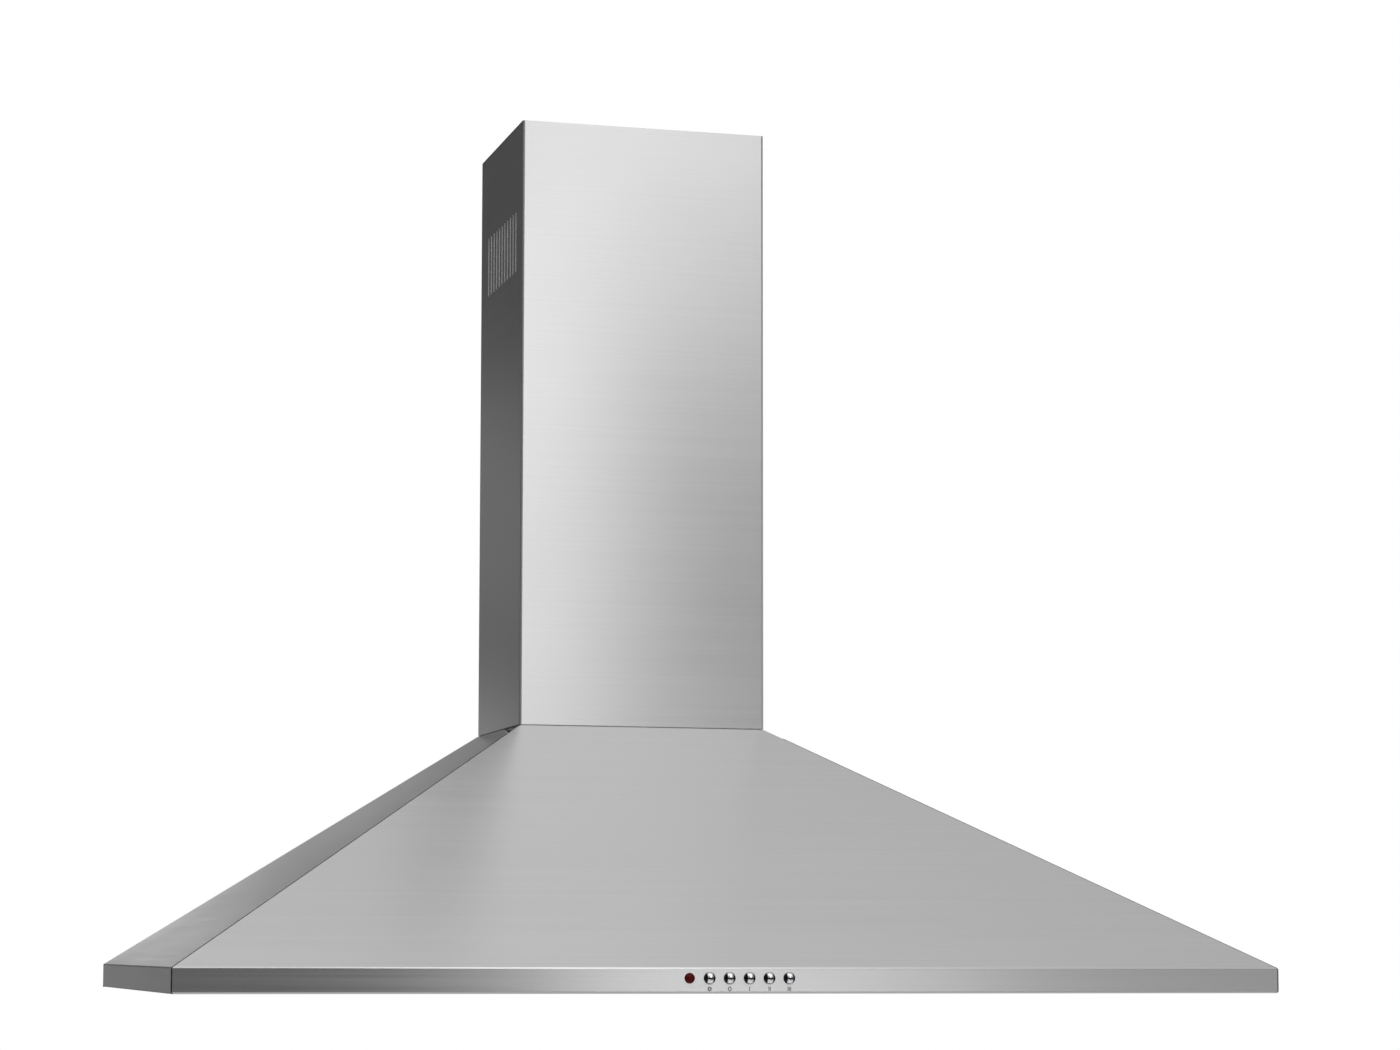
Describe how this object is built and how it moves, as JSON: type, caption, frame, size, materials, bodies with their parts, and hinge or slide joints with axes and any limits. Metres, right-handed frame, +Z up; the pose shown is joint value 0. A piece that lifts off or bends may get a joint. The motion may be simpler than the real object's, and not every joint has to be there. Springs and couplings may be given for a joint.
{
  "type": "wall-mounted range hood",
  "caption": "Pyramid canopy hood with a chimney cover, telescopic extension, twin-inlet blower, hinged grease filters, lamps and a row of push buttons.",
  "frame": {"origin": "on the wall face, at the middle of the canopy's lower edge", "axes": "+X to the right of someone facing the hood, +Y back into the wall, +Z up"},
  "size_m": [0.9, 0.5051, 0.7665],
  "materials": {
    "brushed_steel": "brushed",
    "galvanised_steel": "satin",
    "bright_steel": "ground",
    "aluminium": "satin",
    "black_plastic": "matte",
    "lamp_glass": "frosted",
    "circuit_board": "satin",
    "red_lens": "gloss",
    "chrome": "polished",
    "motor_paint": "satin",
    "white_plastic": "matte",
    "lead_sheath": "matte"
  },
  "bodies": {
    "hood": {"canopy_front_panel": "brushed_steel", "canopy_left_panel": "brushed_steel", "canopy_right_panel": "brushed_steel", "canopy_back_panel": "galvanised_steel", "top_collar": "galvanised_steel", "underside_panel": "brushed_steel", "lamp_housing_left": "galvanised_steel", "lamp_housing_right": "galvanised_steel", "lamp_bulb_left": "lamp_glass", "lamp_bulb_right": "lamp_glass", "lamp_glass_left": "lamp_glass", "lamp_glass_right": "lamp_glass", "lamp_bezel_left": "brushed_steel", "lamp_bezel_right": "brushed_steel", "switch_housing": "black_plastic", "switch_board": "circuit_board", "switch_screws": "galvanised_steel", "indicator_lens": "red_lens", "blower_scroll": "galvanised_steel", "blower_side_left": "galvanised_steel", "blower_side_right": "galvanised_steel", "blower_screws": "galvanised_steel", "fan_motor": "motor_paint", "motor_bracket": "galvanised_steel", "motor_screws": "galvanised_steel", "motor_capacitor": "aluminium", "outlet_collar": "black_plastic", "damper_pin": "bright_steel", "chimney_cover": "brushed_steel", "chimney_wall_bracket": "galvanised_steel", "junction_box": "black_plastic", "junction_box_cover": "black_plastic", "junction_box_screws": "galvanised_steel", "terminal_block": "white_plastic", "cable_gland": "black_plastic", "motor_lead": "lead_sheath", "switch_lead": "lead_sheath", "lamp_lead_left": "lead_sheath", "lamp_lead_right": "lead_sheath"},
    "filter_left": {"filter_frame_left": "aluminium", "filter_mesh_left": "aluminium"},
    "filter_centre": {"filter_frame_centre": "aluminium", "filter_mesh_centre": "aluminium"},
    "filter_right": {"filter_frame_right": "aluminium", "filter_mesh_right": "aluminium"},
    "latch_left": {"filter_latch_left": "black_plastic"},
    "latch_centre": {"filter_latch_centre": "black_plastic"},
    "latch_right": {"filter_latch_right": "black_plastic"},
    "light_button": {"button_light": "chrome"},
    "off_button": {"button_off": "chrome"},
    "speed_1_button": {"button_speed_1": "chrome"},
    "speed_2_button": {"button_speed_2": "chrome"},
    "speed_3_button": {"button_speed_3": "chrome"},
    "fan": {"fan_wheel": "galvanised_steel", "motor_shaft": "bright_steel"},
    "damper_left": {"damper_flap_left": "black_plastic"},
    "damper_right": {"damper_flap_right": "black_plastic"},
    "extension": {"chimney_extension": "brushed_steel"}
  },
  "joints": [
    {"name": "filter_left_hinge", "type": "hinge", "parent": "hood", "child": "filter_left", "pos_m": [-0.276, -0.0343, 0.0033], "axis": [1, 0, 0], "range_deg": [0, 75]},
    {"name": "filter_centre_hinge", "type": "hinge", "parent": "hood", "child": "filter_centre", "pos_m": [0, -0.0343, 0.0033], "axis": [1, 0, 0], "range_deg": [0, 75]},
    {"name": "filter_right_hinge", "type": "hinge", "parent": "hood", "child": "filter_right", "pos_m": [0.276, -0.0343, 0.0033], "axis": [1, 0, 0], "range_deg": [0, 75]},
    {"name": "latch_left_slide", "type": "slide", "parent": "filter_left", "child": "latch_left", "axis": [0, 1, 0], "range_m": [0, 0.006], "stiffness_N_per_m": 300},
    {"name": "latch_centre_slide", "type": "slide", "parent": "filter_centre", "child": "latch_centre", "axis": [0, 1, 0], "range_m": [0, 0.006], "stiffness_N_per_m": 300},
    {"name": "latch_right_slide", "type": "slide", "parent": "filter_right", "child": "latch_right", "axis": [0, 1, 0], "range_m": [0, 0.006], "stiffness_N_per_m": 300},
    {"name": "light_button_push", "type": "slide", "parent": "hood", "child": "light_button", "axis": [0, 1, 0], "range_m": [0, 0.0025], "stiffness_N_per_m": 600},
    {"name": "off_button_push", "type": "slide", "parent": "hood", "child": "off_button", "axis": [0, 1, 0], "range_m": [0, 0.0025], "stiffness_N_per_m": 600},
    {"name": "speed_1_button_push", "type": "slide", "parent": "hood", "child": "speed_1_button", "axis": [0, 1, 0], "range_m": [0, 0.0025], "stiffness_N_per_m": 600},
    {"name": "speed_2_button_push", "type": "slide", "parent": "hood", "child": "speed_2_button", "axis": [0, 1, 0], "range_m": [0, 0.0025], "stiffness_N_per_m": 600},
    {"name": "speed_3_button_push", "type": "slide", "parent": "hood", "child": "speed_3_button", "axis": [0, 1, 0], "range_m": [0, 0.0025], "stiffness_N_per_m": 600},
    {"name": "fan_spin", "type": "hinge", "parent": "hood", "child": "fan", "pos_m": [0, -0.146, 0.126], "axis": [1, 0, 0], "continuous": true},
    {"name": "damper_left_hinge", "type": "hinge", "parent": "hood", "child": "damper_left", "pos_m": [0, -0.087, 0.249], "axis": [0, 1, 0], "range_deg": [0, 75]},
    {"name": "damper_right_hinge", "type": "hinge", "parent": "hood", "child": "damper_right", "pos_m": [0, -0.087, 0.249], "axis": [0, -1, 0], "range_deg": [0, 75]},
    {"name": "extension_slide", "type": "slide", "parent": "hood", "child": "extension", "axis": [0, 0, 1], "range_m": [0, 0.3]}
  ]
}
